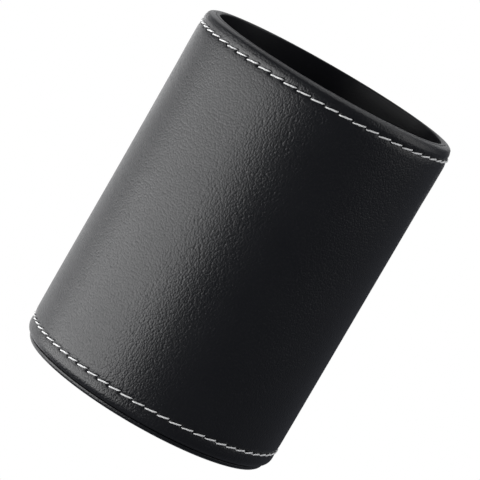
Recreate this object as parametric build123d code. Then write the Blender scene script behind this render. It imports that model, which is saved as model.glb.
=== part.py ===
from build123d import *

import math
import os

# Round desk cup for pens: a board tube wrapped in black leatherette, lined with a
# thin leatherette sleeve, closed by boards below, with a decorative row of white
# thread near each end of the wrap.
# Units are millimetres, +Z is up, and the origin is the centre of the underside.
# The wrap's closed upright seam faces +Y, the back.

# --- driving dimensions -------------------------------------------------------
BODY_RADIUS = 40.0
HEIGHT = 107.0
BORE_RADIUS = 36.0

WRAP_THICKNESS = 0.8
INTERLINING_THICKNESS = 0.4
LINER_SHEET_THICKNESS = 0.3
LINER_BOARD_THICKNESS = 0.65
FLOOR_BOARD_THICKNESS = 1.0
BOTTOM_BOARD_THICKNESS = 2.0
BASE_BOARD_THICKNESS = 0.7
BASE_COVER_THICKNESS = 0.35
PAD_THICKNESS = 0.3

# --- wrap ---------------------------------------------------------------------
LIP_STEP = 0.1              # how far the liner's lip stands above the wrap
WRAP_TOP = HEIGHT - LIP_STEP
TURNED_THICKNESS = 0.35     # the wrap is pared thin where it is turned in
BOTTOM_TURN_THICKNESS = 0.4
OVER_EDGE_THICKNESS = 0.5   # the wrap where it passes over the tube's end
TOP_TURN_DEPTH = 12.0
BOTTOM_TURN_INNER_RADIUS = 28.0
SHOULDER_RADIUS = 2.2       # round outside edges of the wrap
INNER_SHOULDER_RADIUS = 1.4
CREASE_RADIUS = 0.25
HEM_BULGE = 0.05            # the band outside each stitch row stands proud
STITCH_DENT = 0.25          # the thread pulls the wrap in along each row
DENT_HALF_WIDTH = 0.7
DENT_SLOPE_WIDTH = 0.45
DENT_ROUNDING = 0.4

# --- stitching ----------------------------------------------------------------
TOP_ROW_HEIGHT = HEIGHT - 3.75
BOTTOM_ROW_HEIGHT = 6.65
TOP_STITCH_COUNT = 57
BOTTOM_STITCH_COUNT = 64
BOTTOM_ROW_PHASE = 1.2      # degrees
THREAD_RADIUS = 0.23
THREAD_LEG_RADIUS = 0.17
STITCH_END_GAP = 0.28       # from the middle of a needle hole to the bar's axis end
STITCH_SLANT = 0.36         # how far each end leaves the middle of the row
LEG_RISE = 0.16
NEEDLE_HOLE_RADIUS = 0.6
BOBBIN_THREAD_THICKNESS = 0.2
BOBBIN_THREAD_WIDTH = 0.6
BOBBIN_GROOVE_WIDTH = 1.6   # wide enough to hold every needle hole's mouth

# --- clearances and seams -----------------------------------------------------
SEAM_GAP = 0.15
THREAD_CLEARANCE = 0.02
DISC_CLEARANCE = 0.1
BACK_ANGLE = 90.0           # where the wrap's upright seam is, from +X
LINING_SEAM_ANGLE = 270.0
INTERLINING_SEAM_ANGLE = 123.2   # between two needle holes of each row
CORE_SEAM_ANGLE = 60.0
LINER_BOARD_SEAM_ANGLE = 110.0

# --- base ---------------------------------------------------------------------
BASE_RADIUS = 38.45
BASE_TURN_INNER_RADIUS = 28.0
BASE_TOP_ROUNDING = 0.3
BASE_LOWER_ROUNDING = 1.0
BASE_BOARD_TOP_ROUNDING = 0.1
BASE_BOARD_LOWER_ROUNDING = 0.55
PAD_RADIUS = 36.0

# --- radii from the outside in ------------------------------------------------
WRAP_INNER = BODY_RADIUS - WRAP_THICKNESS
CORE_OUTER = WRAP_INNER - INTERLINING_THICKNESS
LINER_OUTER = BORE_RADIUS + 2 * LINER_SHEET_THICKNESS + LINER_BOARD_THICKNESS
CORE_INNER = LINER_OUTER + TURNED_THICKNESS
LINER_BOARD_INNER = BORE_RADIUS + LINER_SHEET_THICKNESS
LINER_BOARD_OUTER = LINER_BOARD_INNER + LINER_BOARD_THICKNESS
HEM_RADIUS = BODY_RADIUS + HEM_BULGE
DENT_RADIUS = BODY_RADIUS - STITCH_DENT

# --- heights from the bottom up -----------------------------------------------
BASE_BOARD_BOTTOM = PAD_THICKNESS + BASE_COVER_THICKNESS
BASE_BOARD_TOP = BASE_BOARD_BOTTOM + BASE_BOARD_THICKNESS
BASE_TOP = BASE_BOARD_TOP + BASE_COVER_THICKNESS
CORE_BOTTOM = BASE_TOP + BOTTOM_TURN_THICKNESS
CORE_TOP = WRAP_TOP - OVER_EDGE_THICKNESS
CORE_EDGE_RADIUS = 1.1
BOTTOM_BOARD_TOP = CORE_BOTTOM + BOTTOM_BOARD_THICKNESS
FLOOR_BOARD_TOP = BOTTOM_BOARD_TOP + FLOOR_BOARD_THICKNESS
FLOOR_TOP = FLOOR_BOARD_TOP + LINER_SHEET_THICKNESS
INTERLINING_MARGIN = 0.1    # the interlining stops this short of where the wrap curves
INTERLINING_TOP = CORE_TOP - INNER_SHOULDER_RADIUS - INTERLINING_MARGIN
INTERLINING_BOTTOM = CORE_BOTTOM + INNER_SHOULDER_RADIUS + INTERLINING_MARGIN
LINER_TURN_DEPTH = 10.0
LINER_BOARD_TOP = HEIGHT - LINER_SHEET_THICKNESS
LIP_ROUNDING = 0.4
LIP_INNER_ROUNDING = 0.3


def profile(corners):
    """Face in the XZ plane from (radius, height, corner rounding) triples."""
    points = [(radius, 0, height) for radius, height, rounding in corners]
    roundings = [rounding for radius, height, rounding in corners]
    return make_face(FilletPolyline(*points, radius=roundings, close=True))


def box_profile(inner, outer, low, high):
    """Square-cornered profile of a ring or, with inner at 0, of a disc."""
    return profile([(inner, low, 0), (outer, low, 0), (outer, high, 0), (inner, high, 0)])


def turned(face):
    """Full body of revolution about the cup's axis."""
    return revolve(face, Axis.Z)


def rolled(face, seam_angle):
    """Sheet or board rolled into a tube, open by the seam gap at one angle."""
    gap = math.degrees(SEAM_GAP / BODY_RADIUS)
    return Rot(0, 0, seam_angle + gap / 2) * revolve(face, Axis.Z, 360 - gap)


def hole_angles(count, phase):
    """Angles of a row's needle holes, counted from the back seam."""
    return [BACK_ANGLE + phase + index * 360 / count for index in range(count)]


def needle_holes(count, phase, height):
    """Radial holes through the wrap and the interlining, one between two stitches."""
    length = 2 * (BODY_RADIUS - CORE_OUTER)
    hole = Pos(BODY_RADIUS, 0, height) * Rot(0, 90, 0) * Cylinder(NEEDLE_HOLE_RADIUS, length)
    return [Rot(0, 0, angle) * hole for angle in hole_angles(count, phase)]


def all_needle_holes():
    """Needle holes of both rows."""
    top = needle_holes(TOP_STITCH_COUNT, 0, TOP_ROW_HEIGHT)
    bottom = needle_holes(BOTTOM_STITCH_COUNT, BOTTOM_ROW_PHASE, BOTTOM_ROW_HEIGHT)
    return top + bottom


def dent_corners(row_height, body_side):
    """Outline of the dent along a stitch row, from the hem side to the body side."""
    steps = [
        (HEM_RADIUS, DENT_HALF_WIDTH + DENT_SLOPE_WIDTH),
        (DENT_RADIUS, DENT_HALF_WIDTH),
        (DENT_RADIUS, -DENT_HALF_WIDTH),
        (BODY_RADIUS, -DENT_HALF_WIDTH - DENT_SLOPE_WIDTH),
    ]
    return [(radius, row_height - body_side * step, DENT_ROUNDING) for radius, step in steps]


def outer_wrap():
    """Leatherette sheet, turned in over the tube's top edge and under its bottom edge."""
    top_dent = dent_corners(TOP_ROW_HEIGHT, -1)
    bottom_dent = dent_corners(BOTTOM_ROW_HEIGHT, 1)
    corners = [
        (BOTTOM_TURN_INNER_RADIUS, CORE_BOTTOM, 0),
        (BOTTOM_TURN_INNER_RADIUS, BASE_TOP, 0),
        (HEM_RADIUS, BASE_TOP, SHOULDER_RADIUS),
        *bottom_dent,
        *reversed(top_dent),
        (HEM_RADIUS, WRAP_TOP, SHOULDER_RADIUS),
        (LINER_OUTER, WRAP_TOP, CREASE_RADIUS),
        (LINER_OUTER, WRAP_TOP - TOP_TURN_DEPTH, 0),
        (CORE_INNER, WRAP_TOP - TOP_TURN_DEPTH, 0),
        (CORE_INNER, CORE_TOP, 0),
        (WRAP_INNER, CORE_TOP, INNER_SHOULDER_RADIUS),
        (WRAP_INNER, CORE_BOTTOM, INNER_SHOULDER_RADIUS),
    ]
    return rolled(profile(corners), BACK_ANGLE) - all_needle_holes()


def bobbin_groove(row_height):
    """Space that a bobbin thread presses into the back of the interlining."""
    half = BOBBIN_GROOVE_WIDTH / 2
    outer = CORE_OUTER + BOBBIN_THREAD_THICKNESS
    return turned(box_profile(CORE_OUTER - 1, outer, row_height - half, row_height + half))


def wrap_interlining():
    """Soft padding sheet between the wrap and the tube, sewn to the wrap."""
    face = box_profile(CORE_OUTER, WRAP_INNER, INTERLINING_BOTTOM, INTERLINING_TOP)
    grooves = [bobbin_groove(TOP_ROW_HEIGHT), bobbin_groove(BOTTOM_ROW_HEIGHT)]
    return rolled(face, INTERLINING_SEAM_ANGLE) - grooves - all_needle_holes()


def core_tube():
    """Rolled greyboard tube that carries everything, its outer edges sanded round."""
    corners = [
        (CORE_INNER, CORE_BOTTOM, 0),
        (CORE_OUTER, CORE_BOTTOM, CORE_EDGE_RADIUS),
        (CORE_OUTER, CORE_TOP, CORE_EDGE_RADIUS),
        (CORE_INNER, CORE_TOP, 0),
    ]
    return rolled(profile(corners), CORE_SEAM_ANGLE)


def liner_board():
    """Thin board tube inside the lining sheet."""
    corners = [
        (LINER_BOARD_INNER, BOTTOM_BOARD_TOP, 0),
        (LINER_BOARD_OUTER, BOTTOM_BOARD_TOP, 0),
        (LINER_BOARD_OUTER, LINER_BOARD_TOP, LIP_INNER_ROUNDING),
        (LINER_BOARD_INNER, LINER_BOARD_TOP, LIP_INNER_ROUNDING),
    ]
    return rolled(profile(corners), LINER_BOARD_SEAM_ANGLE)


def liner_sheet():
    """Lining that covers the bore and folds out over the liner board as the lip."""
    turn_bottom = HEIGHT - LINER_TURN_DEPTH
    corners = [
        (BORE_RADIUS, BOTTOM_BOARD_TOP, 0),
        (BORE_RADIUS, HEIGHT, LIP_ROUNDING),
        (LINER_OUTER, HEIGHT, LIP_ROUNDING),
        (LINER_OUTER, turn_bottom, 0),
        (LINER_BOARD_OUTER, turn_bottom, 0),
        (LINER_BOARD_OUTER, LINER_BOARD_TOP, LIP_INNER_ROUNDING),
        (LINER_BOARD_INNER, LINER_BOARD_TOP, LIP_INNER_ROUNDING),
        (LINER_BOARD_INNER, BOTTOM_BOARD_TOP, 0),
    ]
    return rolled(profile(corners), LINING_SEAM_ANGLE)


def bottom_board():
    """Disc that closes the tube, flush with its lower end."""
    return turned(box_profile(0, CORE_INNER - DISC_CLEARANCE, CORE_BOTTOM, BOTTOM_BOARD_TOP))


def floor_board():
    """Disc inside the lining that makes the cup's floor."""
    radius = BORE_RADIUS - LINER_SHEET_THICKNESS - DISC_CLEARANCE
    return turned(box_profile(0, radius, BOTTOM_BOARD_TOP, FLOOR_BOARD_TOP))


def floor_lining():
    """Lining disc over the floor board, turned down round its edge."""
    outer = BORE_RADIUS - DISC_CLEARANCE
    inner = outer - LINER_SHEET_THICKNESS
    corners = [
        (0, FLOOR_BOARD_TOP, 0),
        (inner, FLOOR_BOARD_TOP, 0),
        (inner, BOTTOM_BOARD_TOP, 0),
        (outer, BOTTOM_BOARD_TOP, 0),
        (outer, FLOOR_TOP, LINER_SHEET_THICKNESS),
        (0, FLOOR_TOP, 0),
    ]
    return turned(profile(corners))


def base_board():
    """Board disc inside the base cover."""
    radius = BASE_RADIUS - BASE_COVER_THICKNESS
    corners = [
        (0, BASE_BOARD_BOTTOM, 0),
        (radius, BASE_BOARD_BOTTOM, BASE_BOARD_LOWER_ROUNDING),
        (radius, BASE_BOARD_TOP, BASE_BOARD_TOP_ROUNDING),
        (0, BASE_BOARD_TOP, 0),
    ]
    return turned(profile(corners))


def base_cover():
    """Leatherette disc that wraps the base board's underside and edge."""
    radius = BASE_RADIUS - BASE_COVER_THICKNESS
    corners = [
        (0, PAD_THICKNESS, 0),
        (BASE_RADIUS, PAD_THICKNESS, BASE_LOWER_ROUNDING),
        (BASE_RADIUS, BASE_TOP, BASE_TOP_ROUNDING),
        (BASE_TURN_INNER_RADIUS, BASE_TOP, 0),
        (BASE_TURN_INNER_RADIUS, BASE_BOARD_TOP, 0),
        (radius, BASE_BOARD_TOP, BASE_BOARD_TOP_ROUNDING),
        (radius, BASE_BOARD_BOTTOM, BASE_BOARD_LOWER_ROUNDING),
        (0, BASE_BOARD_BOTTOM, 0),
    ]
    return turned(profile(corners))


def base_pad():
    """Thin felt disc that the cup stands on."""
    return turned(box_profile(0, PAD_RADIUS, 0, PAD_THICKNESS))


def thread_between(start, end, radius):
    """Straight piece of thread with round ends."""
    run = Vector(*end) - Vector(*start)
    body = Plane(origin=start, z_dir=run) * Pos(0, 0, run.length / 2)
    piece = body * Cylinder(radius, run.length)
    piece += Pos(*start) * Sphere(radius)
    piece += Pos(*end) * Sphere(radius)
    return piece


def stitch(count):
    """One slanted stitch centred on +X at height 0, with a leg down each needle hole."""
    half = BODY_RADIUS * math.tan(math.pi / count) - STITCH_END_GAP
    bar_radius = DENT_RADIUS + THREAD_RADIUS + THREAD_CLEARANCE
    left = (bar_radius, -half, -STITCH_SLANT)
    right = (bar_radius, half, STITCH_SLANT)
    piece = thread_between(left, right, THREAD_RADIUS)
    foot = CORE_OUTER + BOBBIN_THREAD_THICKNESS
    leg_length = bar_radius - foot
    for side in (-1, 1):
        middle = (foot + leg_length / 2, side * half, side * LEG_RISE)
        piece += Pos(*middle) * Rot(0, 90, 0) * Cylinder(THREAD_LEG_RADIUS, leg_length)
    return piece


def stitch_row(count, phase, height):
    """Ring of separate stitches, each between two needle holes."""
    one = Pos(0, 0, height) * stitch(count)
    first = BACK_ANGLE + phase + 180 / count
    return [Rot(0, 0, first + index * 360 / count) * one for index in range(count)]


def bobbin_thread(row_height):
    """Under-thread that lies flat behind the interlining along a stitch row."""
    half = BOBBIN_THREAD_WIDTH / 2
    outer = CORE_OUTER + BOBBIN_THREAD_THICKNESS
    return turned(box_profile(CORE_OUTER, outer, row_height - half, row_height + half))


def make_parts():
    """Every node's solids by the node's name."""
    top_row = stitch_row(TOP_STITCH_COUNT, 0, TOP_ROW_HEIGHT)
    bottom_row = stitch_row(BOTTOM_STITCH_COUNT, BOTTOM_ROW_PHASE, BOTTOM_ROW_HEIGHT)
    return {
        "outer_wrap": outer_wrap(),
        "wrap_interlining": wrap_interlining(),
        "core_tube": core_tube(),
        "liner_board": liner_board(),
        "liner_sheet": liner_sheet(),
        "floor_lining": floor_lining(),
        "floor_board": floor_board(),
        "bottom_board": bottom_board(),
        "base_board": base_board(),
        "base_cover": base_cover(),
        "base_pad": base_pad(),
        "top_stitching": Compound(children=top_row),
        "top_bobbin_thread": bobbin_thread(TOP_ROW_HEIGHT),
        "bottom_stitching": Compound(children=bottom_row),
        "bottom_bobbin_thread": bobbin_thread(BOTTOM_ROW_HEIGHT),
    }


os.makedirs("parts", exist_ok=True)
for name, shape in make_parts().items():
    export_step(shape, f"parts/{name}.step")
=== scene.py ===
import logging
import math
import random
from dataclasses import dataclass, field
from enum import Enum
from typing import Any, Callable, Iterable, Sequence

import bmesh
import bpy
import numpy as np
from mathutils import Matrix, Vector


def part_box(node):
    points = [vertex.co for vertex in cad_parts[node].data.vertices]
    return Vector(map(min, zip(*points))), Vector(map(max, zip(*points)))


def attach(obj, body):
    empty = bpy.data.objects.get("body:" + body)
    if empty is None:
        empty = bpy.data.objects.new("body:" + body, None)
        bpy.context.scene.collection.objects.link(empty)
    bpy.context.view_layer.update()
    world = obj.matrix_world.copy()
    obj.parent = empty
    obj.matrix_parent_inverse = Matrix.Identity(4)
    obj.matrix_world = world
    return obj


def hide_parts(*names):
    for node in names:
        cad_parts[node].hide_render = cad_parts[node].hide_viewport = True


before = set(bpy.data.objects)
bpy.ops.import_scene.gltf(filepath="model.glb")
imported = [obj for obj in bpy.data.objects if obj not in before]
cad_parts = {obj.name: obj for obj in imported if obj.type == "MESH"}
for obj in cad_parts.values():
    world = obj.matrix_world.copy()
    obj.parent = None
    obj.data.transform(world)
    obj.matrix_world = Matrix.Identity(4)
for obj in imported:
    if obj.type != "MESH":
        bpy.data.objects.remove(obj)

logging.basicConfig(level=logging.INFO, format="%(message)s")
log = logging.getLogger("pen_cup")

MM = 0.001
FULL_TURN = 2 * math.pi
BACK_ANGLE = math.radians(90)  # the wrap's upright seam faces +Y
FRONT_ANGLE = math.radians(270)  # the lining's faces -Y
SEAM_STEPS = np.array([0.0, 0.05, 0.11, 0.19, 0.30, 0.45, 0.65]) * MM  # in from a sheet's edge
SEAM_MARGIN = 0.95 * MM
LAST_GAP = 1.4  # an outline's last gap may be this much wider than the others
ROOT = "root"
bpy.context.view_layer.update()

Colour = tuple[float, float, float]
Outline = list[tuple[float, float]]
Relief = Callable[[np.ndarray, np.ndarray, np.ndarray], np.ndarray]


# --- shader building ----------------------------------------------------------


class Value:
    """A shader socket that takes part in Python expressions."""

    def __init__(self, shader: "Shader", socket: bpy.types.NodeSocket) -> None:
        """Keeps the socket and the shader it belongs to."""
        self.shader = shader
        self.socket = socket

    def _math(self, operation: str, first: Any, second: Any) -> "Value":
        """Adds a Math node on two values."""
        return self.shader.node("ShaderNodeMath", {"operation": operation}, {0: first, 1: second}).out(0)

    def __add__(self, other: Any) -> "Value":
        """self + other."""
        return self._math("ADD", self, other)

    def __radd__(self, other: Any) -> "Value":
        """other + self."""
        return self._math("ADD", other, self)

    def __sub__(self, other: Any) -> "Value":
        """self - other."""
        return self._math("SUBTRACT", self, other)

    def __rsub__(self, other: Any) -> "Value":
        """other - self."""
        return self._math("SUBTRACT", other, self)

    def __mul__(self, other: Any) -> "Value":
        """self * other."""
        return self._math("MULTIPLY", self, other)

    def __rmul__(self, other: Any) -> "Value":
        """other * self."""
        return self._math("MULTIPLY", other, self)

    def smaller(self, other: Any) -> "Value":
        """The smaller of the two."""
        return self._math("MINIMUM", self, other)

    def larger(self, other: Any) -> "Value":
        """The larger of the two."""
        return self._math("MAXIMUM", self, other)

    def step(self, low: float, high: float) -> "Value":
        """Smooth rise from 0 at low to 1 at high, or a fall where low is the larger.

        Args:
            low: the value that gives 0.
            high: the value that gives 1.

        Returns:
            The risen value.
        """
        return self.shader.node(
            "ShaderNodeMapRange",
            {"interpolation_type": "SMOOTHSTEP", "clamp": True},
            {"Value": self, "From Min": low, "From Max": high, "To Min": 0.0, "To Max": 1.0},
        ).out("Result")


class Made:
    """A node that has been made, and the way to its outputs."""

    def __init__(self, shader: "Shader", node: bpy.types.Node) -> None:
        """Keeps the node and the shader it belongs to."""
        self.shader = shader
        self.node = node

    def out(self, key: str | int) -> Value:
        """The output of that name or number."""
        return Value(self.shader, self.node.outputs[key])


class CellPart(Enum):
    """What a field of cells measures the distance to."""

    MIDDLE = "F1"
    EDGE = "DISTANCE_TO_EDGE"


class Shader:
    """A material's or a world's node tree, with one method that makes every node."""

    def __init__(self, owner: bpy.types.Material | bpy.types.World) -> None:
        """Empties the owner's node tree.

        Args:
            owner: the new material or world.
        """
        self.owner = owner
        owner.use_nodes = True
        self.tree = owner.node_tree
        self.tree.nodes.clear()

    @classmethod
    def named(cls, name: str) -> "Shader":
        """Starts an empty material of that name."""
        return cls(bpy.data.materials.new(name))

    def node(self, kind: str, settings: dict[str, Any], inputs: dict[Any, Any]) -> Made:
        """Makes a node.

        Args:
            kind: the node's Blender type.
            settings: its own properties, set first.
            inputs: its sockets by name or number, each a number, a colour or a Value.

        Returns:
            The node, wrapped.
        """
        made = self.tree.nodes.new(kind)
        for key, value in settings.items():
            setattr(made, key, value)
        for key, value in inputs.items():
            socket = made.inputs[key]
            if isinstance(value, Value):
                self.tree.links.new(value.socket, socket)
            elif isinstance(value, tuple) and socket.type == "RGBA":
                socket.default_value = (*value, 1.0)
            else:
                socket.default_value = value
        return Made(self, made)

    def place(self) -> Value:
        """The point's place in the object's own metres."""
        return self.node("ShaderNodeTexCoord", {}, {}).out("Object")

    def scaled(self, vector: Value, scale: tuple[float, float, float]) -> Value:
        """A vector times a constant one."""
        return self.node("ShaderNodeVectorMath", {"operation": "MULTIPLY"}, {0: vector, 1: scale}).out(0)

    def axis(self, vector: Value, name: str) -> Value:
        """One coordinate of a vector, by its letter."""
        return self.node("ShaderNodeSeparateXYZ", {}, {0: vector}).out(name)

    def noise(self, vector: Value, scale: float, detail: float, roughness: float = 0.5) -> Value:
        """Cloudy noise from 0 to 1."""
        inputs = {"Vector": vector, "Scale": scale, "Detail": detail, "Roughness": roughness}
        return self.node("ShaderNodeTexNoise", {}, inputs).out(0)

    def warped(self, vector: Value, scale: float, amount: float) -> Value:
        """A vector pushed about by coloured noise.

        Args:
            vector: the vector.
            scale: the noise's scale.
            amount: the largest push, in metres.

        Returns:
            The pushed vector.
        """
        push = self.node("ShaderNodeTexNoise", {}, {"Vector": vector, "Scale": scale, "Detail": 2.0})
        centred = self.node(
            "ShaderNodeVectorMath", {"operation": "SUBTRACT"}, {0: push.out("Color"), 1: (0.5, 0.5, 0.5)}
        ).out(0)
        small = self.scaled(centred, (amount, amount, amount))
        return self.node("ShaderNodeVectorMath", {"operation": "ADD"}, {0: vector, 1: small}).out(0)

    def cells(
        self, vector: Value, scale: float, part: CellPart = CellPart.MIDDLE, randomness: float = 1.0
    ) -> Value:
        """Distance in a field of cells.

        Args:
            vector: where to measure.
            scale: how many cells there are to a metre.
            part: what to measure to.
            randomness: 0 for a square grid, 1 for free cells.

        Returns:
            The distance, in cells.
        """
        inputs = {"Vector": vector, "Scale": scale, "Randomness": randomness}
        return self.node("ShaderNodeTexVoronoi", {"feature": part.value}, inputs).out("Distance")

    def mixed(self, factor: Value, first: Colour, second: Colour) -> Value:
        """A colour between two, by a factor."""
        return self.node("ShaderNodeMix", {"data_type": "RGBA"}, {0: factor, 6: first, 7: second}).out(2)

    def bump(self, height: Value, depth: float) -> Value:
        """The normal of a relief of that depth in metres."""
        return self.node("ShaderNodeBump", {}, {"Height": height, "Distance": depth}).out("Normal")

    def surface(self, inputs: dict[str, Any]) -> bpy.types.Material:
        """Ends the material in a Principled surface.

        Args:
            inputs: the surface's sockets.

        Returns:
            The material.
        """
        shaded = self.node("ShaderNodeBsdfPrincipled", {}, inputs)
        self.node("ShaderNodeOutputMaterial", {}, {"Surface": shaded.out("BSDF")})
        return self.owner


# --- finishes -----------------------------------------------------------------


@dataclass(frozen=True)
class Leatherette:
    """Black coated sheet with a fine pebbled grain and a soft shine.

    A rate counts cells or clouds to a pebble, and a share is a part of the relief.
    """

    name: str
    edge_low: float
    edge_high: float
    colour: Colour = (0.0050, 0.0053, 0.0066)
    worn_colour: Colour = (0.0095, 0.0100, 0.0118)
    pebble: float = 0.57 * MM
    stretch: float = 0.85
    irregularity: float = 0.85
    bend_rate: float = 0.35
    bend_reach: float = 0.25
    crease_rate: float = 0.62
    crease_width: float = 0.10
    crease_share: float = 0.08
    fine_rate: float = 3.2
    fine_share: float = 0.12
    grain_depth: float = 0.088 * MM
    cloud_scale: float = 55.0
    cloud_low: float = 0.3
    tint: float = 0.4
    roughness: float = 0.35
    cloud_roughness: float = 0.10
    crease_roughness: float = 0.08
    worn_polish: float = 0.05
    wear_width: float = 1.2 * MM
    wear_scale: float = 160.0
    wear_base: float = 0.35

    def material(self) -> bpy.types.Material:
        """Makes the finish.

        Returns:
            The material.
        """
        s = Shader.named(self.name)
        place = s.place()
        along = s.scaled(place, (1.0, 1.0, self.stretch))
        bent = s.warped(along, self.bend_rate / self.pebble, self.bend_reach * self.pebble)
        domes = s.cells(bent, 1.0 / self.pebble, randomness=self.irregularity)
        edges = s.cells(bent, self.crease_rate / self.pebble, CellPart.EDGE)
        creases = edges.step(0.0, self.crease_width)
        fine = s.noise(along, self.fine_rate / self.pebble, 2.0)
        height = 1.0 - domes * domes + creases * self.crease_share + fine * self.fine_share
        cloud = s.noise(place, self.cloud_scale, 3.0)
        worn = self._wear(s, place)
        rough = self.roughness + (cloud - 0.5) * self.cloud_roughness
        rough = rough + (1.0 - creases) * self.crease_roughness - worn * self.worn_polish
        lighter = (cloud - self.cloud_low).larger(0.0) * self.tint + worn * self.tint
        return s.surface(
            {
                "Base Color": s.mixed(lighter, self.colour, self.worn_colour),
                "Roughness": rough,
                "Normal": s.bump(height, self.grain_depth),
            }
        )

    def _wear(self, s: Shader, place: Value) -> Value:
        """Patchy wear along the sheet's upper and lower edges.

        Args:
            s: the finish's shader.
            place: the point's place.

        Returns:
            The wear, from 0 to 1.
        """
        patches = s.noise(place, self.wear_scale, 4.0, 0.6)
        level = s.axis(place, "Z")
        low = level.step(self.edge_low + self.wear_width, self.edge_low)
        high = level.step(self.edge_high - self.wear_width, self.edge_high)
        return ((low + high) * (self.wear_base + patches)).smaller(1.0)


@dataclass(frozen=True)
class Lining:
    """Thin black lining sheet, finer and duller than the wrap."""

    name: str
    colour: Colour = (0.0060, 0.0061, 0.0074)
    dusty_colour: Colour = (0.0065, 0.0066, 0.0078)
    grain: float = 0.42 * MM
    bend_rate: float = 0.4
    bend_reach: float = 0.5
    fine_rate: float = 3.0
    fine_share: float = 0.5
    grain_depth: float = 0.02 * MM
    cloud_scale: float = 70.0
    cloud_low: float = 0.35
    cloud_roughness: float = 0.12
    roughness: float = 0.36
    gloss: float = 0.25

    def material(self) -> bpy.types.Material:
        """Makes the finish.

        Returns:
            The material.
        """
        s = Shader.named(self.name)
        place = s.place()
        bent = s.warped(place, self.bend_rate / self.grain, self.bend_reach * self.grain)
        cells = s.cells(bent, 1.0 / self.grain)
        fine = s.noise(place, self.fine_rate / self.grain, 2.0)
        cloud = s.noise(place, self.cloud_scale, 4.0)
        dust = (cloud - self.cloud_low).larger(0.0)
        return s.surface(
            {
                "Base Color": s.mixed(dust, self.colour, self.dusty_colour),
                "Roughness": self.roughness + (cloud - 0.5) * self.cloud_roughness,
                "Specular IOR Level": self.gloss,
                "Normal": s.bump(1.0 - cells + fine * self.fine_share, self.grain_depth),
            }
        )


@dataclass(frozen=True)
class Greyboard:
    """Pressed recycled board: flecked fibres, dull, with faint layers on cut edges."""

    name: str
    colour: Colour = (0.30, 0.27, 0.235)
    fleck_colour: Colour = (0.14, 0.12, 0.10)
    fibre: float = 1.1 * MM
    fibre_lie: tuple[float, float, float] = (1.0, 1.0, 0.35)
    fibre_tint: float = 0.5
    fleck_rate: float = 0.5
    fleck_edge: tuple[float, float] = (0.16, 0.05)
    fleck_tint: float = 0.7
    layer: float = 0.25 * MM
    layer_lie: tuple[float, float, float] = (0.1, 0.1, 1.0)
    layer_share: float = 0.4
    relief_depth: float = 0.05 * MM
    roughness: float = 0.86
    fibre_roughness: float = 0.15

    def material(self) -> bpy.types.Material:
        """Makes the finish.

        Returns:
            The material.
        """
        s = Shader.named(self.name)
        place = s.place()
        fibres = s.noise(s.scaled(place, self.fibre_lie), 1.0 / self.fibre, 5.0, 0.65)
        flecks = s.cells(place, self.fleck_rate / self.fibre).step(*self.fleck_edge)
        layers = s.noise(s.scaled(place, self.layer_lie), 1.0 / self.layer, 1.0)
        darker = flecks * self.fleck_tint + (fibres - 0.5) * self.fibre_tint
        return s.surface(
            {
                "Base Color": s.mixed(darker, self.colour, self.fleck_colour),
                "Roughness": self.roughness + (fibres - 0.5) * self.fibre_roughness,
                "Normal": s.bump(fibres + layers * self.layer_share, self.relief_depth),
            }
        )


@dataclass(frozen=True)
class Matted:
    """Matted fibres, for the felt disc and the soft interlining, with a painted highlight on the raised
    fibres.
    """

    name: str
    colour: Colour
    highlight_colour: Colour
    fibre: float = 0.55 * MM
    depth: float = 0.12 * MM
    swirl_rate: float = 0.3
    swirl_reach: float = 2.0
    strand_lie: tuple[float, float, float] = (1.0, 2.6, 1.8)
    cross_lie: tuple[float, float, float] = (2.4, 1.0, 2.0)
    cross_rate: float = 1.1
    tuft_rate: float = 0.12
    tuft_share: float = 0.4
    highlight_low: float = 0.45
    highlight_tint: float = 1.2
    roughness: float = 0.92
    tuft_roughness: float = 0.1
    sheen: float = 0.15
    sheen_roughness: float = 0.5

    def material(self) -> bpy.types.Material:
        """Makes the finish.

        Returns:
            The material.
        """
        s = Shader.named(self.name)
        place = s.place()
        swirl = s.warped(place, self.swirl_rate / self.fibre, self.swirl_reach * self.fibre)
        strands = s.noise(s.scaled(swirl, self.strand_lie), 1.0 / self.fibre, 4.0, 0.7)
        cross = s.noise(s.scaled(swirl, self.cross_lie), self.cross_rate / self.fibre, 3.0, 0.6)
        tufts = s.noise(place, self.tuft_rate / self.fibre, 3.0)
        height = strands.larger(cross) + tufts * self.tuft_share
        # Painted highlight: the colour grows lighter with the relief's height, so raised fibres and tufts
        # look lit and the hollows between them carry painted shade.
        lighter = (height - self.highlight_low).larger(0.0) * self.highlight_tint
        return s.surface(
            {
                "Base Color": s.mixed(lighter, self.colour, self.highlight_colour),
                "Roughness": self.roughness + (tufts - 0.5) * self.tuft_roughness,
                "Sheen Weight": self.sheen,
                "Sheen Roughness": self.sheen_roughness,
                "Normal": s.bump(height, self.depth),
            }
        )


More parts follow.
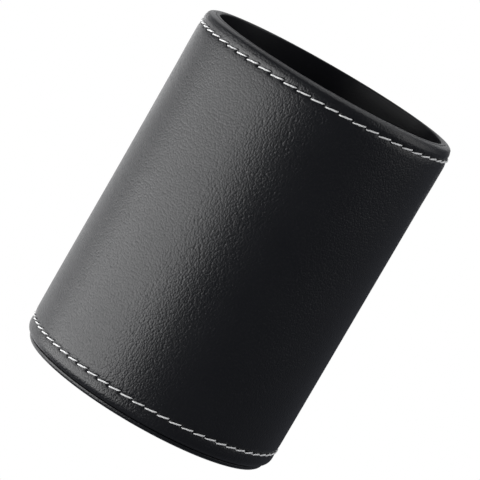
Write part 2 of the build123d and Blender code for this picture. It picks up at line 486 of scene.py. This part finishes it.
@dataclass(frozen=True)
class SewingThread:
    """White polyester thread: fine filaments along each ply, with a little shine."""

    name: str
    colour: Colour = (0.80, 0.80, 0.79)
    shade_and_soil_colour: Colour = (0.50, 0.50, 0.51)
    filament: float = 0.09 * MM
    filament_lie: tuple[float, float, float] = (1.0, 1.0, 1.9)
    filament_depth: float = 0.02 * MM
    filament_tint: float = 0.30
    soil_scale: float = 420.0
    soil_low: float = 0.45
    soil_tint: float = 0.8
    roughness: float = 0.58
    filament_roughness: float = 0.2

    def material(self) -> bpy.types.Material:
        """Makes the finish.

        Returns:
            The material.
        """
        s = Shader.named(self.name)
        place = s.place()
        filaments = s.noise(s.scaled(place, self.filament_lie), 1.0 / self.filament, 2.0)
        soil = (s.noise(place, self.soil_scale, 3.0) - self.soil_low).larger(0.0)
        # Painted shade in streaks between the filaments, together with real soil, mixes the thread towards
        # its darker colour.
        darker = filaments * self.filament_tint + soil * self.soil_tint
        return s.surface(
            {
                "Base Color": s.mixed(darker, self.colour, self.shade_and_soil_colour),
                "Roughness": self.roughness + (filaments - 0.5) * self.filament_roughness,
                "Normal": s.bump(filaments, self.filament_depth),
            }
        )


# --- mesh building ------------------------------------------------------------


def rounded(corners: Sequence[tuple[float, float, float]], arc_step: float) -> Outline:
    """Outline through corners, each rounded by its own radius.

    Args:
        corners: (radius, height, rounding) of each corner, in metres.
        arc_step: degrees between points on a rounding.

    Returns:
        The (radius, height) points. The first and last corners stay sharp.
    """
    points: Outline = []
    last = len(corners) - 1
    for index, (r, z, rounding) in enumerate(corners):
        if rounding <= 0 or index in (0, last):
            points.append((r, z))
            continue
        here = Vector((r, z))
        before = (Vector(corners[index - 1][:2]) - here).normalized()
        after = (Vector(corners[index + 1][:2]) - here).normalized()
        half = before.angle(after) / 2
        reach = rounding / math.tan(half)
        centre = here + (before + after).normalized() * (rounding / math.sin(half))
        start = here + before * reach - centre
        sweep = start.angle_signed(here + after * reach - centre)
        steps = max(2, math.ceil(abs(math.degrees(sweep)) / arc_step))
        for step in range(steps + 1):
            turned = Matrix.Rotation(-sweep * step / steps, 2) @ start
            points.append(tuple(centre + turned))
    return points


def refined(points: Outline, spacing: Callable[[float, float], float]) -> Outline:
    """Outline with its long runs divided.

    Args:
        points: the (radius, height) points.
        spacing: the largest gap allowed at a radius and height.

    Returns:
        The divided outline.
    """
    result = [points[0]]
    for target in points[1:]:
        while True:
            r, z = result[-1]
            left = math.hypot(target[0] - r, target[1] - z)
            gap = spacing(r, z)
            if left <= gap * LAST_GAP:
                break
            share = gap / left
            result.append((r + (target[0] - r) * share, z + (target[1] - z) * share))
        result.append(target)
    return result


def mesh_object(name: str, points: np.ndarray, faces: Iterable[Sequence[int]]) -> bpy.types.Object:
    """Makes a smooth-shaded object at the origin.

    Args:
        name: the object's name.
        points: its points in metres.
        faces: the point numbers of each face.

    Returns:
        The object.
    """
    mesh = bpy.data.meshes.new(name)
    mesh.from_pydata(points.tolist(), [], list(faces))
    mesh.validate()
    mesh.polygons.foreach_set("use_smooth", [True] * len(mesh.polygons))
    made = bpy.data.objects.new(name, mesh)
    bpy.context.scene.collection.objects.link(made)
    return made


def tidy_normals(made: bpy.types.Object) -> None:
    """Turns every face of a closed mesh outwards.

    Args:
        made: the mesh's object.
    """
    edit = bmesh.new()
    edit.from_mesh(made.data)
    bmesh.ops.recalc_face_normals(edit, faces=edit.faces)
    edit.to_mesh(made.data)
    edit.free()


def full_turn(count: int) -> np.ndarray:
    """Even angles round a whole ring."""
    return np.arange(count) * (FULL_TURN / count)


def rolled_turn(count: int, seam: float, gap: float, radius: float) -> np.ndarray:
    """Angles of a rolled sheet, closer together beside its seam.

    Args:
        count: how many even steps to take.
        seam: the seam's angle in radians.
        gap: the seam's open width in metres.
        radius: the radius that the gap is measured at.

    Returns:
        The angles, from one edge of the sheet to the other.
    """
    edge = gap / 2 / radius
    close, margin = SEAM_STEPS / radius, SEAM_MARGIN / radius
    start, end = seam + edge, seam + FULL_TURN - edge
    inner = np.linspace(start + margin, end - margin, count)
    return np.concatenate([start + close, inner, (end - close)[::-1]])


def turn_from(angle: np.ndarray, seam: float) -> np.ndarray:
    """How far an angle is from a seam, either way round."""
    return np.abs((angle - seam + math.pi) % FULL_TURN - math.pi)


def bell(distance: np.ndarray, width: float) -> np.ndarray:
    """Smooth bump of height 1 at no distance, mostly gone a width away."""
    return np.exp(-((distance / width) ** 2))


@dataclass
class Turned:
    """A solid swept round the cup's axis, as a full ring or as a rolled sheet.

    The outline runs with the solid on its left. A closed outline is a tube's section.
    An open one starts and ends on the axis, as a disc's does.
    """

    name: str
    outline: Outline
    closed: bool
    angles: np.ndarray
    whole: bool = True
    relief: Relief | None = None

    def build(self) -> bpy.types.Object:
        """Makes the solid.

        Returns:
            The mesh object.
        """
        outline = np.array(self.outline)
        inner = outline if self.closed else outline[1:-1]
        angle_grid, radius_grid = np.meshgrid(self.angles, inner[:, 0], indexing="ij")
        height_grid = np.broadcast_to(inner[:, 1], radius_grid.shape).copy()
        if self.relief is not None:
            radius_grid = radius_grid + self.relief(angle_grid, radius_grid, height_grid)
        grid = np.stack(
            [radius_grid * np.cos(angle_grid), radius_grid * np.sin(angle_grid), height_grid], axis=-1
        )
        turns, rings = radius_grid.shape
        points = grid.reshape(-1, 3)
        faces = self._sides(turns, rings)
        if not self.closed:
            points = np.vstack([points, [[0, 0, outline[0, 1]], [0, 0, outline[-1, 1]]]])
            faces += self._poles(turns, rings)
        if not self.whole:
            faces.append(list(range(rings)))
            faces.append(list(range((turns - 1) * rings, turns * rings))[::-1])
        made = mesh_object(self.name, points, faces)
        tidy_normals(made)
        return made

    def _sides(self, turns: int, rings: int) -> list[list[int]]:
        """Quads between neighbouring outlines.

        Args:
            turns: how many outlines there are.
            rings: how many points each has.

        Returns:
            The faces.
        """
        faces = []
        for turn in range(turns if self.whole else turns - 1):
            here, there = turn * rings, (turn + 1) % turns * rings
            for ring in range(rings if self.closed else rings - 1):
                step = (ring + 1) % rings
                faces.append([here + ring, here + step, there + step, there + ring])
        return faces

    def _poles(self, turns: int, rings: int) -> list[list[int]]:
        """Triangles that close a disc at the axis.

        Args:
            turns: how many outlines there are.
            rings: how many points each has.

        Returns:
            The faces.
        """
        first_pole, last_pole = turns * rings, turns * rings + 1
        faces = []
        for turn in range(turns):
            here, there = turn * rings, (turn + 1) % turns * rings
            faces.append([first_pole, here, there])
            faces.append([last_pole, there + rings - 1, here + rings - 1])
        return faces


def dress(piece: bpy.types.Object, material: bpy.types.Material, slot: str, *nodes: str) -> None:
    """Gives a piece its finish and its body, and hides the CAD nodes that it stands for.

    Args:
        piece: the piece.
        material: its finish.
        slot: its slot's name; not used.
        nodes: the CAD nodes that it replaces.
    """
    piece.data.materials.append(material)
    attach(piece, ROOT)
    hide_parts(*nodes)
    log.info("%s: %d faces, for %s", piece.name, len(piece.data.polygons), ", ".join(nodes))


# --- sub-assemblies -----------------------------------------------------------


class End(Enum):
    """Which end of the cup a stitch row is near."""

    TOP = "top"
    BOTTOM = "bottom"


@dataclass
class StitchRow:
    """A row of slanted stitches, each from one needle hole to the next."""

    end: End
    count: int
    phase: float
    slant: float = 0.31 * MM
    straight_share: float = 0.72
    thread_radius: float = 0.22 * MM
    hole_gap: float = 0.26 * MM
    cover: float = 0.03 * MM
    sink: float = 0.55 * MM
    sink_start: float = 0.72
    sink_power: float = 2.2
    taper: float = 0.42
    flatness: float = 0.88
    spread: float = 1.06
    gap_spread: tuple[float, float] = (0.8, 1.15)
    slant_spread: tuple[float, float] = (0.86, 1.14)
    thickness_spread: tuple[float, float] = (0.95, 1.05)
    wander: float = 0.05 * MM
    ply_count: int = 3
    ply_depth: float = 0.075
    twist_length: float = 2.1 * MM
    hole_depth: float = 0.55 * MM
    hole_width: float = 0.42 * MM
    hole_height: float = 0.46 * MM
    groove_depth: float = 0.10 * MM
    groove_height: float = 0.40 * MM
    band_depth: float = 0.20 * MM
    band_height: float = 1.05 * MM
    pinch_depth: float = 0.05 * MM
    pinch_width: float = 0.8 * MM
    pinch_height: float = 1.5 * MM
    rings: int = 26
    sides: int = 18
    height: float = field(init=False)
    line_radius: float = field(init=False)

    def __post_init__(self) -> None:
        """Reads the row's height and radius from the frame."""
        low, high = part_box(self.node)
        self.height = (low[2] + high[2]) / 2
        self.line_radius = high[0] - self.thread_radius - self.cover

    @property
    def node(self) -> str:
        """The CAD node that holds the row."""
        return f"{self.end.value}_stitching"

    @property
    def start(self) -> float:
        """Angle of the row's first needle hole."""
        return BACK_ANGLE + math.radians(self.phase)

    @property
    def pitch(self) -> float:
        """Angle from one needle hole to the next."""
        return FULL_TURN / self.count

    def across(self, angle: np.ndarray) -> np.ndarray:
        """Where an angle lies along its stitch, from 0 at one hole to 1 at the next."""
        return ((angle - self.start) / self.pitch) % 1.0

    def line(self, share: np.ndarray) -> np.ndarray:
        """Height of the thread's middle above the row, along a stitch."""
        lean = 2 * share - 1
        return self.slant * (self.straight_share * lean + (1 - self.straight_share) * lean**3)

    def dent(self, angle: np.ndarray, height: np.ndarray) -> np.ndarray:
        """How far the thread and the needle holes press the wrap in.

        Args:
            angle: the points' angles.
            height: the points' heights.

        Returns:
            The push on their radius, never above 0.
        """
        share = self.across(angle)
        rise = height - self.height
        to_hole = np.minimum(share, 1 - share) * self.pitch * self.line_radius
        holes = bell(to_hole, self.hole_width) * bell(rise, self.hole_height)
        groove = bell(rise - self.line(share), self.groove_height)
        band = bell(rise, self.band_height)
        pinch = bell(to_hole, self.pinch_width) * bell(rise, self.pinch_height)
        thread_push = self.groove_depth * groove + self.band_depth * band
        return -(self.hole_depth * holes + thread_push + self.pinch_depth * pinch)

    def build(self, material: bpy.types.Material) -> None:
        """Makes the row as one piece of separate stitches.

        Args:
            material: the thread's finish.
        """
        chance = random.Random(f"{self.node} {self.count}")
        blocks, faces = [], []
        for index in range(self.count):
            middle = self.start + (index + 0.5) * self.pitch
            points = self._stitch(middle, chance)
            faces += self._tube(len(blocks) * self.rings * self.sides)
            blocks.append(points)
        made = mesh_object(f"{self.end.value}_stitches", np.vstack(blocks), faces)
        tidy_normals(made)
        dress(made, material, "thread", self.node)

    def _stitch(self, middle: float, chance: random.Random) -> np.ndarray:
        """Points of one stitch, ring by ring from one end to the other.

        Args:
            middle: the angle of the stitch's middle.
            chance: where its small differences come from.

        Returns:
            The points.
        """
        half = self.pitch * self.line_radius / 2 - self.hole_gap * chance.uniform(*self.gap_spread)
        slant = chance.uniform(*self.slant_spread)
        shift = chance.uniform(-self.wander, self.wander)
        thick = self.thread_radius * chance.uniform(*self.thickness_spread)
        turn = chance.uniform(0, FULL_TURN)
        lean = -np.cos(np.linspace(0, math.pi, self.rings))
        along = half * lean
        ending = np.clip((np.abs(lean) - self.sink_start) / (1 - self.sink_start), 0, 1)
        radius = self.line_radius - self.sink * ending**self.sink_power
        height = self.height + shift + self.line((lean + 1) / 2) * slant
        angle = middle + along / self.line_radius
        centre = np.stack([radius * np.cos(angle), radius * np.sin(angle), height], axis=-1)
        ahead = np.gradient(centre, axis=0)
        ahead /= np.linalg.norm(ahead, axis=1, keepdims=True)
        out = np.stack([np.cos(angle), np.sin(angle), np.zeros_like(angle)], axis=-1)
        side = np.cross(ahead, out)
        side /= np.linalg.norm(side, axis=1, keepdims=True)
        out = np.cross(side, ahead)
        around = full_turn(self.sides)
        twist = FULL_TURN * along[:, None] / self.twist_length + turn
        plies = 1 + self.ply_depth * np.cos(self.ply_count * around[None, :] + twist)
        size = thick * (1 - self.taper * np.abs(lean) ** 4)[:, None] * plies
        flat = self.flatness * np.sin(around)[None, :] * size
        wide = self.spread * np.cos(around)[None, :] * size
        points = centre[:, None, :] + wide[..., None] * side[:, None, :] + flat[..., None] * out[:, None, :]
        return points.reshape(-1, 3)

    def _tube(self, first: int) -> list[list[int]]:
        """Faces of one stitch.

        Args:
            first: the number of its first point.

        Returns:
            The faces.
        """
        faces = []
        for ring in range(self.rings - 1):
            here, there = first + ring * self.sides, first + (ring + 1) * self.sides
            for side in range(self.sides):
                step = (side + 1) % self.sides
                faces.append([here + side, here + step, there + step, there + side])
        last = first + (self.rings - 1) * self.sides
        faces.append([first + side for side in range(self.sides)][::-1])
        faces.append([last + side for side in range(self.sides)])
        return faces


@dataclass
class Wrap:
    """The outer sheet, from its turned-in rim to its turned-under base."""

    rows: list[StitchRow]
    thickness: float = 0.8 * MM
    bulge: float = 0.05 * MM
    shoulder: float = 2.4 * MM
    inner_shoulder: float = 1.4 * MM
    lower_shoulder: float = 2.5 * MM
    inner_lower_shoulder: float = 1.5 * MM
    crease: float = 0.25 * MM
    turned: float = 0.35 * MM
    over_edge: float = 0.5 * MM
    under_turn: float = 0.4 * MM
    turn_depth: float = 12.0 * MM
    under_reach: float = 28.0 * MM
    arc_step: float = 11.0
    row_gap: float = 0.17 * MM
    row_reach: float = 1.7 * MM
    hem_gap: float = 0.5 * MM
    hem_reach: float = 4.0 * MM
    side_gap: float = 6.0 * MM
    hidden_gap: float = 12.0 * MM
    hidden_depth: float = 0.1 * MM
    skin: float = 0.75 * MM
    skin_blend: float = 0.7 * MM
    hem_depth: float = 3.2 * MM
    hem_ease: float = 0.5 * MM
    hem_push: float = 0.09 * MM
    hem_lean: float = 0.072
    hem_swell: float = 0.018
    hem_run: float = 4.0 * MM
    hem_start: float = 0.9
    hem_start_run: float = 2.0 * MM
    foot_push: float = 0.05 * MM
    foot_run: float = 1.5 * MM
    wave: float = 0.045 * MM
    wave_turn: float = 31.0 * MM
    wave_fade: float = 19.0 * MM
    ripple: float = 0.02 * MM
    ripple_turn: float = 13.0 * MM
    seam_gap: float = 0.06 * MM
    seam_depth: float = 0.24 * MM
    seam_width: float = 0.22 * MM
    seam_swell: float = 0.05 * MM
    swell_place: float = 1.3 * MM
    swell_width: float = 0.9 * MM
    steps: int = 684
    low: float = field(init=False)
    high: float = field(init=False)
    body: float = field(init=False)
    rim_inner: float = field(init=False)

    def __post_init__(self) -> None:
        """Reads the wrap's own box and the liner it closes on."""
        low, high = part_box("outer_wrap")
        self.low, self.high = low[2], high[2]
        self.body = high[0] - self.bulge
        self.rim_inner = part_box("liner_sheet")[1][0]

    def outline(self) -> Outline:
        """The sheet's section: out along the base, up the side, and in over the rim.

        Returns:
            The closed outline.
        """
        inside = self.body - self.thickness
        core_low = self.low + self.under_turn
        core_high = self.high - self.over_edge
        tucked = self.rim_inner + self.turned
        corners = [
            (self.under_reach, core_low, 0),
            (self.under_reach, self.low, 0),
            (self.body, self.low, self.lower_shoulder),
            (self.body, self.high, self.shoulder),
            (self.rim_inner, self.high, self.crease),
            (self.rim_inner, self.high - self.turn_depth, 0),
            (tucked, self.high - self.turn_depth, 0),
            (tucked, core_high, 0),
            (inside, core_high, self.inner_shoulder),
            (inside, core_low, self.inner_lower_shoulder),
            (self.under_reach, core_low, 0),
        ]
        return refined(rounded(corners, self.arc_step), self._spacing)[:-1]

    def _spacing(self, radius: float, height: float) -> float:
        """Close rings beside the stitch rows, wide ones elsewhere.

        Args:
            radius: where the outline has got to.
            height: the same point's height.

        Returns:
            The largest gap to the next point.
        """
        if radius < self.body - self.hidden_depth:
            return self.hidden_gap
        near = min(abs(height - row.height) for row in self.rows)
        if near < self.row_reach:
            return self.row_gap
        return self.hem_gap if near < self.hem_reach else self.side_gap

    def relief(self, angle: np.ndarray, radius: np.ndarray, height: np.ndarray) -> np.ndarray:
        """Everything that pushes the outer face in or out.

        Args:
            angle: the points' angles.
            radius: their radii.
            height: their heights.

        Returns:
            The push on their radius.
        """
        depth = np.clip((radius - (self.body - self.skin)) / self.skin_blend, 0, 1)
        outside = depth * depth * (3 - 2 * depth)
        push = self._hems(height) + self._waves(angle, height) + self._seam(angle)
        for row in self.rows:
            push = push + row.dent(angle, height)
        return outside * push

    def _hems(self, height: np.ndarray) -> np.ndarray:
        """The padded hem that leans in towards the rim, and the foot below the lower row.

        Args:
            height: the points' heights.

        Returns:
            The push on their radius.
        """
        top = max(row.height for row in self.rows)
        bottom = min(row.height for row in self.rows)
        above = height - (top - self.hem_depth)
        drawn_in = (np.sqrt(above**2 + self.hem_ease**2) + above) / 2
        swell = self.hem_swell * np.clip(above + self.hem_run, 0, self.hem_run)
        hem = self.hem_push - self.hem_lean * drawn_in + swell
        fade = np.clip((height - self.hem_start * top) / self.hem_start_run, 0, 1)
        return hem * fade - self.foot_push * np.clip((bottom - height) / self.foot_run, 0, 1)

    def _waves(self, angle: np.ndarray, height: np.ndarray) -> np.ndarray:
        """The slight unevenness of a sheet that was wrapped by hand.

        Args:
            angle: the points' angles.
            height: their heights.

        Returns:
            The push on their radius.
        """
        broad = np.sin(2 * angle + height / self.wave_turn) * np.cos(height / self.wave_fade)
        return self.wave * broad + self.ripple * np.sin(5 * angle - height / self.ripple_turn)

    def _seam(self, angle: np.ndarray) -> np.ndarray:
        """The pressed groove of the upright seam, with a low swell on each side."""
        to_seam = turn_from(angle, BACK_ANGLE) * self.body
        groove = -self.seam_depth * bell(to_seam, self.seam_width)
        return groove + self.seam_swell * bell(to_seam - self.swell_place, self.swell_width)

    def build(self, material: bpy.types.Material) -> None:
        """Makes the wrap.

        Args:
            material: the leatherette.
        """
        angles = rolled_turn(self.steps, BACK_ANGLE, self.seam_gap, self.body)
        made = Turned("wrap_skin", self.outline(), True, angles, False, self.relief).build()
        dress(made, material, "leatherette", "outer_wrap")


@dataclass
class Liner:
    """The lining sheet in the bore, folded out over its board as the lip."""

    sheet: float = 0.3 * MM
    inner_rounding: float = 0.5 * MM
    outer_rounding: float = 0.2 * MM
    bore: float = 36.0 * MM
    turn_depth: float = 10.0 * MM
    arc_step: float = 12.0
    ring_gap: float = 3.0 * MM
    face_depth: float = 0.12 * MM
    face_blend: float = 0.1 * MM
    wave: float = 0.04 * MM
    wave_turn: float = 17.0 * MM
    wave_fade: float = 23.0 * MM
    deepest_wave: float = 0.02 * MM
    seam_gap: float = 0.05 * MM
    seam_depth: float = 0.16 * MM
    seam_width: float = 0.25 * MM
    steps: int = 300

    def build(self, material: bpy.types.Material) -> None:
        """Makes the lining.

        Args:
            material: the lining's finish.
        """
        low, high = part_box("liner_sheet")
        outer = high[0]
        board_in, board_out = self.bore + self.sheet, outer - self.sheet
        top, bottom = high[2], low[2]
        corners = [
            (board_in, bottom, 0),
            (self.bore, bottom, 0),
            (self.bore, top, self.inner_rounding),
            (outer, top, self.outer_rounding),
            (outer, top - self.turn_depth, 0),
            (board_out, top - self.turn_depth, 0),
            (board_out, top - self.sheet, self.sheet),
            (board_in, top - self.sheet, self.sheet),
            (board_in, bottom, 0),
        ]
        outline = refined(rounded(corners, self.arc_step), lambda r, z: self.ring_gap)[:-1][::-1]
        angles = rolled_turn(self.steps, FRONT_ANGLE, self.seam_gap, self.bore)
        made = Turned("lining_sleeve", outline, True, angles, False, self._relief).build()
        dress(made, material, "lining", "liner_sheet")

    def _relief(self, angle: np.ndarray, radius: np.ndarray, height: np.ndarray) -> np.ndarray:
        """Slight waves where the sheet is glued down, and its pressed seam.

        Args:
            angle: the points' angles.
            radius: their radii.
            height: their heights.

        Returns:
            The push on their radius.
        """
        face = np.clip((self.bore + self.face_depth - radius) / self.face_blend, 0, 1)
        broad = np.sin(4 * angle + height / self.wave_turn) * np.sin(2 * angle + height / self.wave_fade)
        waves = self.wave * broad
        seam = self.seam_depth * bell(turn_from(angle, FRONT_ANGLE) * self.bore, self.seam_width)
        return face * (np.maximum(waves, -self.deepest_wave) + seam)


@dataclass
class Floor:
    """The lined disc at the bottom of the bore."""

    edge: float = 0.3 * MM
    arc_step: float = 20.0
    ring_gap: float = 3.0 * MM
    steps: int = 240

    def build(self, material: bpy.types.Material) -> None:
        """Makes the floor's lining.

        Args:
            material: the lining's finish.
        """
        low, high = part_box("floor_lining")
        outer = high[0]
        board = high[2] - self.edge
        corners = [
            (0, board, 0),
            (outer - self.edge, board, 0),
            (outer - self.edge, low[2], 0),
            (outer, low[2], 0),
            (outer, high[2], self.edge),
            (0, high[2], 0),
        ]
        outline = refined(rounded(corners, self.arc_step), lambda r, z: self.ring_gap)
        made = Turned("lining_floor", outline, False, full_turn(self.steps)).build()
        dress(made, material, "lining", "floor_lining")


@dataclass
class Base:
    """The covered disc under the body, whose edge shows as a bead, and its felt."""

    sheet: float = 0.35 * MM
    top_rounding: float = 0.28 * MM
    lower_rounding: float = 1.05 * MM
    inner_lower_rounding: float = 0.6 * MM
    turn_reach: float = 28.0 * MM
    bead_start: float = 38.0 * MM
    bead_wave: float = 0.05 * MM
    cover_arc_step: float = 14.0
    cover_ring_gap: float = 4.0 * MM
    felt_rounding: float = 0.12 * MM
    felt_edge_start: float = 35.5 * MM
    felt_fray: float = 0.06 * MM
    felt_arc_step: float = 30.0
    felt_ring_gap: float = 2.5 * MM
    steps: int = 360

    def build(self, cover: bpy.types.Material, felt: bpy.types.Material) -> None:
        """Makes the cover and the felt disc."""
        self._cover(cover)
        self._felt(felt)

    def _cover(self, material: bpy.types.Material) -> None:
        """The leatherette round the base board.

        Args:
            material: the leatherette.
        """
        low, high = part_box("base_cover")
        outer, bottom, top = high[0], low[2], high[2]
        inner = outer - self.sheet
        corners = [
            (0, bottom, 0),
            (outer, bottom, self.lower_rounding),
            (outer, top, self.top_rounding),
            (self.turn_reach, top, 0),
            (self.turn_reach, top - self.sheet, 0),
            (inner, top - self.sheet, self.top_rounding / 3),
            (inner, bottom + self.sheet, self.inner_lower_rounding),
            (0, bottom + self.sheet, 0),
        ]
        outline = refined(rounded(corners, self.cover_arc_step), lambda r, z: self.cover_ring_gap)
        made = Turned("base_skin", outline, False, full_turn(self.steps), relief=self._uneven).build()
        dress(made, material, "base_leatherette", "base_cover")

    def _uneven(self, angle: np.ndarray, radius: np.ndarray, height: np.ndarray) -> np.ndarray:
        """Slight waves along the bead."""
        waves = 1 + np.sin(7 * angle) * np.sin(3 * angle + 0.7)
        return -self.bead_wave * waves * (radius > self.bead_start)

    def _felt(self, material: bpy.types.Material) -> None:
        """The felt disc that the cup stands on.

        Args:
            material: the felt.
        """
        low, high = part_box("base_pad")
        corners = [
            (0, low[2], 0),
            (high[0], low[2], self.felt_rounding),
            (high[0], high[2], self.felt_rounding),
            (0, high[2], 0),
        ]
        outline = refined(rounded(corners, self.felt_arc_step), lambda r, z: self.felt_ring_gap)
        made = Turned("felt_disc", outline, False, full_turn(self.steps), relief=self._frayed).build()
        dress(made, material, "felt", "base_pad")

    def _frayed(self, angle: np.ndarray, radius: np.ndarray, height: np.ndarray) -> np.ndarray:
        """A cut edge that isn't quite round."""
        waves = 1 + np.sin(23 * angle) * np.sin(41 * angle + 1)
        return -self.felt_fray * waves * (radius > self.felt_edge_start)


@dataclass
class Inside:
    """The hidden CAD pieces, kept as they are, with finishes of their own."""

    boards: tuple[str, ...] = ("core_tube", "liner_board", "floor_board", "bottom_board", "base_board")
    threads: tuple[str, ...] = ("top_bobbin_thread", "bottom_bobbin_thread")
    padding: str = "wrap_interlining"

    def dress(
        self, board: bpy.types.Material, padding: bpy.types.Material, thread: bpy.types.Material
    ) -> None:
        """Gives each hidden node its finish.

        Args:
            board: the finish of the boards.
            padding: the interlining's.
            thread: the under-threads'.
        """
        finishes = {name: board for name in self.boards}
        finishes.update({name: thread for name in self.threads})
        finishes[self.padding] = padding
        for name, material in finishes.items():
            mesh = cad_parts[name].data
            for index in range(len(mesh.materials)):
                mesh.materials[index] = material
            log.info("%s: CAD node, %s", name, material.name)


# --- studio -------------------------------------------------------------------


@dataclass(frozen=True)
class SoftBox:
    """A rectangular light: its middle, where it shines, its size in metres and its watts."""

    name: str
    place: tuple[float, float, float]
    facing: tuple[float, float, float]
    size: tuple[float, float]
    power: float
    in_gloss: bool = True

    def build(self) -> None:
        """Makes the light."""
        data = bpy.data.lights.new(self.name, "AREA")
        data.shape = "RECTANGLE"
        data.size, data.size_y = self.size
        data.energy = self.power
        data.spread = math.pi
        light = bpy.data.objects.new(self.name, data)
        light.location = self.place
        light.rotation_euler = Vector(self.facing).to_track_quat("-Z", "Y").to_euler()
        light.visible_glossy = self.in_gloss
        bpy.context.scene.collection.objects.link(light)


# Tall boxes at the left and behind it, faint ones above, and a fill in front.
SOFT_BOXES = (
    SoftBox("key_box", (-0.56, -0.225, 0.03), (0.927, 0.375, 0.0), (1.085, 0.56), 4.3),
    SoftBox("low_box", (-0.54, -0.217, -0.22), (0.927, 0.375, 0.3), (1.055, 0.38), 3.8),
    SoftBox("back_box", (-0.50, 0.72, -0.22), (0.57, -0.82, 0.2), (0.84, 0.70), 2.1),
    SoftBox("loft_box", (-0.31, 0.63, 0.60), (0.35, -0.70, -0.55), (0.45, 0.45), 0.35),
    SoftBox("top_box", (0.20, 0.22, 0.90), (-0.20, -0.22, -0.85), (0.90, 0.90), 2.1),
    SoftBox("right_box", (0.75, 0.05, 0.48), (-0.75, -0.05, -0.41), (0.60, 0.60), 1.4),
    SoftBox("rim_box", (-0.10, 0.90, 0.22), (0.1, -0.9, -0.12), (0.85, 0.50), 0.9),
    SoftBox("fill_box", (0.70, -0.60, 0.30), (-0.7, 0.6, -0.25), (0.60, 0.60), 2.9, in_gloss=False),
)


@dataclass
class Studio:
    """Pale floor, white surroundings, soft lights and the camera."""

    elevation: float = 8.579
    distance: float = 888.5 * MM
    roll: float = 30.065
    lens: float = 234.2
    sensor: float = 36.0
    far_clip: float = 100.0
    target_height: float = 54.2 * MM
    aim_right: float = 0.574 * MM
    aim_down: float = 0.233 * MM
    floor_size: float = 60.0
    floor_level: float = -0.1 * MM
    white: Colour = (1.0, 1.0, 1.0)
    dim_colour: Colour = (0.83, 0.87, 1.0)
    dim_strength: float = 0.109

    def build(self) -> None:
        """Makes the whole setting."""
        self._camera()
        self._floor()
        self._world()
        for box in SOFT_BOXES:
            box.build()

    def _camera(self) -> None:
        """Long lens in front of the cup, a little above it, rolled so that the cup leans right."""
        data = bpy.data.cameras.new("camera")
        data.lens = self.lens
        data.sensor_width = self.sensor
        data.clip_end = self.far_clip
        camera = bpy.data.objects.new("camera", data)
        bpy.context.scene.collection.objects.link(camera)
        lift = math.radians(self.elevation)
        back, rise = self.distance * math.cos(lift), self.distance * math.sin(lift)
        camera.location = (0, -back, self.target_height + rise)
        aim = Vector((self.aim_right, 0, self.target_height - self.aim_down))
        look = (aim - camera.location).to_track_quat("-Z", "Y").to_matrix()
        turned = look @ Matrix.Rotation(math.radians(self.roll), 3, "Z")
        camera.rotation_euler = turned.to_euler()
        bpy.context.scene.camera = camera

    def _floor(self) -> None:
        """A pale sheet that stays out of the cup's reflections."""
        half, level = self.floor_size / 2, self.floor_level
        corners = np.array([[x * half, y * half, level] for x, y in ((-1, -1), (1, -1), (1, 1), (-1, 1))])
        floor = mesh_object("floor", corners, [[0, 1, 2, 3]])
        s = Shader.named("pale_floor")
        glow = s.node("ShaderNodeEmission", {}, {"Color": self.white, "Strength": 1.0})
        s.node("ShaderNodeOutputMaterial", {}, {"Surface": glow.out(0)})
        floor.data.materials.append(s.owner)
        floor.visible_glossy = False
        floor.visible_diffuse = False
        floor.visible_shadow = False

    def _world(self) -> None:
        """White to the camera and dim to the cup."""
        world = bpy.data.worlds.new("surroundings")
        bpy.context.scene.world = world
        s = Shader(world)
        seen = s.node("ShaderNodeLightPath", {}, {}).out("Is Camera Ray")
        white = s.node("ShaderNodeBackground", {}, {"Color": self.white, "Strength": 1.0})
        dim = s.node("ShaderNodeBackground", {}, {"Color": self.dim_colour, "Strength": self.dim_strength})
        choice = s.node("ShaderNodeMixShader", {}, {0: seen, 1: dim.out(0), 2: white.out(0)})
        s.node("ShaderNodeOutputWorld", {}, {"Surface": choice.out(0)})


def view_settings() -> None:
    """Plain colours, as a product picture has."""
    view = bpy.context.scene.view_settings
    view.view_transform = "Standard"
    view.look = "None"
    view.exposure = 0
    view.gamma = 1


def main() -> None:
    """Builds the cup and its setting."""
    view_settings()
    low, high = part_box("outer_wrap")
    wrap_skin = Leatherette("black_leatherette", low[2], high[2]).material()
    base_skin = Leatherette("base_leatherette", -1.0, 1.0).material()  # no edges within the cup
    lining = Lining("black_lining").material()
    board = Greyboard("greyboard").material()
    # Each matted finish gets its own colour, then the lighter colour of its painted highlight on raised
    # fibres.
    padding = Matted("interlining_fibre", (0.045, 0.045, 0.048), (0.10, 0.10, 0.105), 0.8 * MM).material()
    felt = Matted("black_felt", (0.006, 0.006, 0.0065), (0.022, 0.022, 0.024)).material()
    thread = SewingThread("white_thread").material()

    rows = [StitchRow(End.TOP, 57, 0.0), StitchRow(End.BOTTOM, 64, 1.2)]
    Wrap(rows).build(wrap_skin)
    for row in rows:
        row.build(thread)
    Liner().build(lining)
    Floor().build(lining)
    Base().build(base_skin, felt)
    Inside().dress(board, padding, thread)
    Studio().build()


if __name__ == "__main__":
    main()
